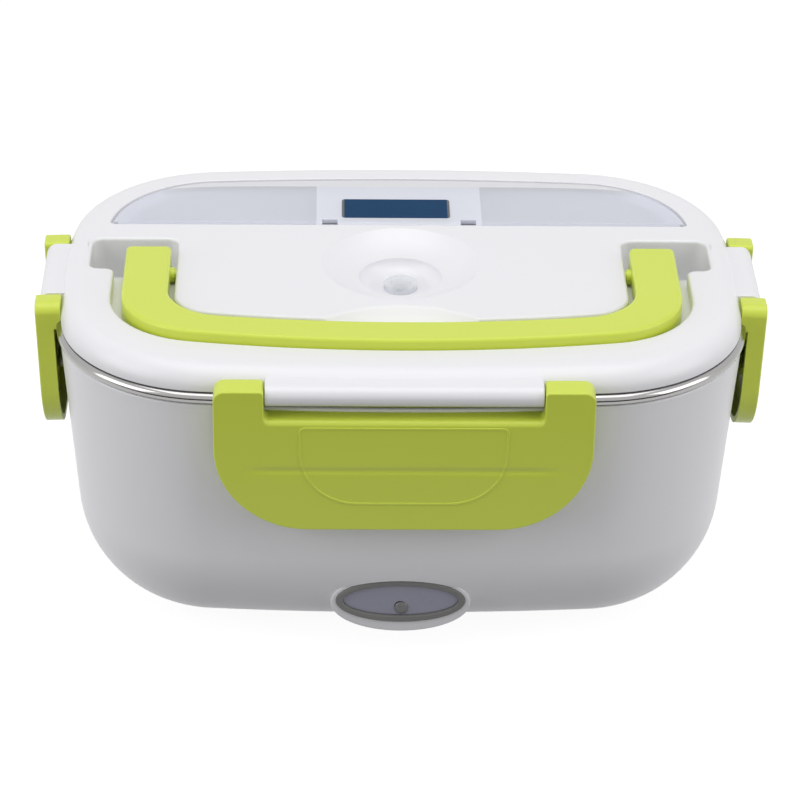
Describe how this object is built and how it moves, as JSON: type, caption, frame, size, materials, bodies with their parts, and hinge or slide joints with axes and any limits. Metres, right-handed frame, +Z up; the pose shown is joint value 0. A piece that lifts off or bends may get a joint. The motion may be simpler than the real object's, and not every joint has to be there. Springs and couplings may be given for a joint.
{
  "type": "electric lunch box",
  "caption": "Heated lunch box: drafted housing with steel food container, clip-on lid with flush carry handle, cutlery compartment and steam vent plug, four snap latches, oval power indicator.",
  "frame": {"origin": "on the table under the middle of the base, at the level of the feet", "axes": "+X to the right seen from the front, -Y towards the front face with the indicator, +Z up"},
  "size_m": [0.2336, 0.1668, 0.1092],
  "materials": {
    "white_body": "satin white polypropylene",
    "white_lid": "glossy white polypropylene",
    "lime": "satin lime green polypropylene",
    "steel": "polished stainless steel",
    "screw_steel": "zinc-plated steel",
    "heater_metal": "turned aluminium",
    "ceramic": "ceramic",
    "dark_plastic": "black heat-resistant plastic",
    "dark_rubber": "grey rubber",
    "lead_red": "silicone insulation",
    "board_green": "circuit board",
    "lamp": "clear lamp body",
    "grey_trim": "warm grey plastic",
    "lens": "lavender grey lens",
    "pin_brass": "nickel-plated brass",
    "seal": "translucent silicone",
    "clear_silicone": "clear silicone",
    "clear_cover": "frosted translucent polypropylene",
    "spoon_white": "white plastic",
    "label_blue": "blank dark blue foil with grey ends"
  },
  "bodies": {
    "base": {"outer_housing": "white_body", "feet": "dark_rubber", "base_screws": "screw_steel", "inner_tub": "white_body", "heating_plate": "heater_metal", "ptc_heater": "ceramic", "heater_clamp": "screw_steel", "clamp_screws": "screw_steel", "thermostat": "dark_plastic", "thermal_fuse": "ceramic", "wiring": "lead_red", "indicator_board": "board_green", "indicator_led": "lamp", "indicator_bezel": "grey_trim", "indicator_lens": "lens", "power_inlet": "dark_plastic", "inlet_pins": "pin_brass"},
    "container": {"food_container": "steel"},
    "lid": {"lid_shell": "white_lid", "lid_inner_plate": "white_lid", "lid_seal": "seal", "spoon": "spoon_white"},
    "vent_plug": {"vent_plug": "clear_silicone"},
    "carry_handle": {"carry_handle": "lime"},
    "cutlery_cover": {"cutlery_cover": "clear_cover", "cover_label": "label_blue"},
    "latch_front": {"latch_front": "lime"},
    "latch_back": {"latch_back": "lime"},
    "latch_left": {"latch_left": "lime"},
    "latch_right": {"latch_right": "lime"}
  },
  "joints": [
    {"name": "lid_lift", "type": "slide", "parent": "base", "child": "lid", "axis": [0, 0, 1], "range_m": [0, 0.092]},
    {"name": "container_lift", "type": "slide", "parent": "base", "child": "container", "axis": [0, 0, 1], "range_m": [0, 0.0702]},
    {"name": "latch_front_hinge", "type": "hinge", "parent": "lid", "child": "latch_front", "pos_m": [0, -0.079, 0.1003], "axis": [-1, 0, 0], "range_deg": [0, 100]},
    {"name": "latch_back_hinge", "type": "hinge", "parent": "lid", "child": "latch_back", "pos_m": [0, 0.079, 0.1003], "axis": [1, 0, 0], "range_deg": [0, 100]},
    {"name": "latch_left_hinge", "type": "hinge", "parent": "lid", "child": "latch_left", "pos_m": [-0.1124, 0, 0.1003], "axis": [0, 1, 0], "range_deg": [0, 100]},
    {"name": "latch_right_hinge", "type": "hinge", "parent": "lid", "child": "latch_right", "pos_m": [0.1124, 0, 0.1003], "axis": [0, -1, 0], "range_deg": [0, 100]},
    {"name": "handle_hinge", "type": "hinge", "parent": "lid", "child": "carry_handle", "pos_m": [0, -0.0049, 0.1037], "axis": [-1, 0, 0], "range_deg": [0, 90]},
    {"name": "cutlery_cover_hinge", "type": "hinge", "parent": "lid", "child": "cutlery_cover", "pos_m": [0, 0.0301, 0.1042], "axis": [1, 0, 0], "range_deg": [0, 95]},
    {"name": "vent_plug_slide", "type": "slide", "parent": "lid", "child": "vent_plug", "axis": [0, 0, 1], "range_m": [0, 0.006]}
  ],
  "couplings": [
    {"joint": "latch_front_hinge", "follows": "lid_lift", "rad_per_m": 18.97},
    {"joint": "latch_back_hinge", "follows": "lid_lift", "rad_per_m": 18.97},
    {"joint": "latch_left_hinge", "follows": "lid_lift", "rad_per_m": 18.97},
    {"joint": "latch_right_hinge", "follows": "lid_lift", "rad_per_m": 18.97},
    {"joint": "container_lift", "follows": "lid_lift", "ratio": 0.76}
  ]
}
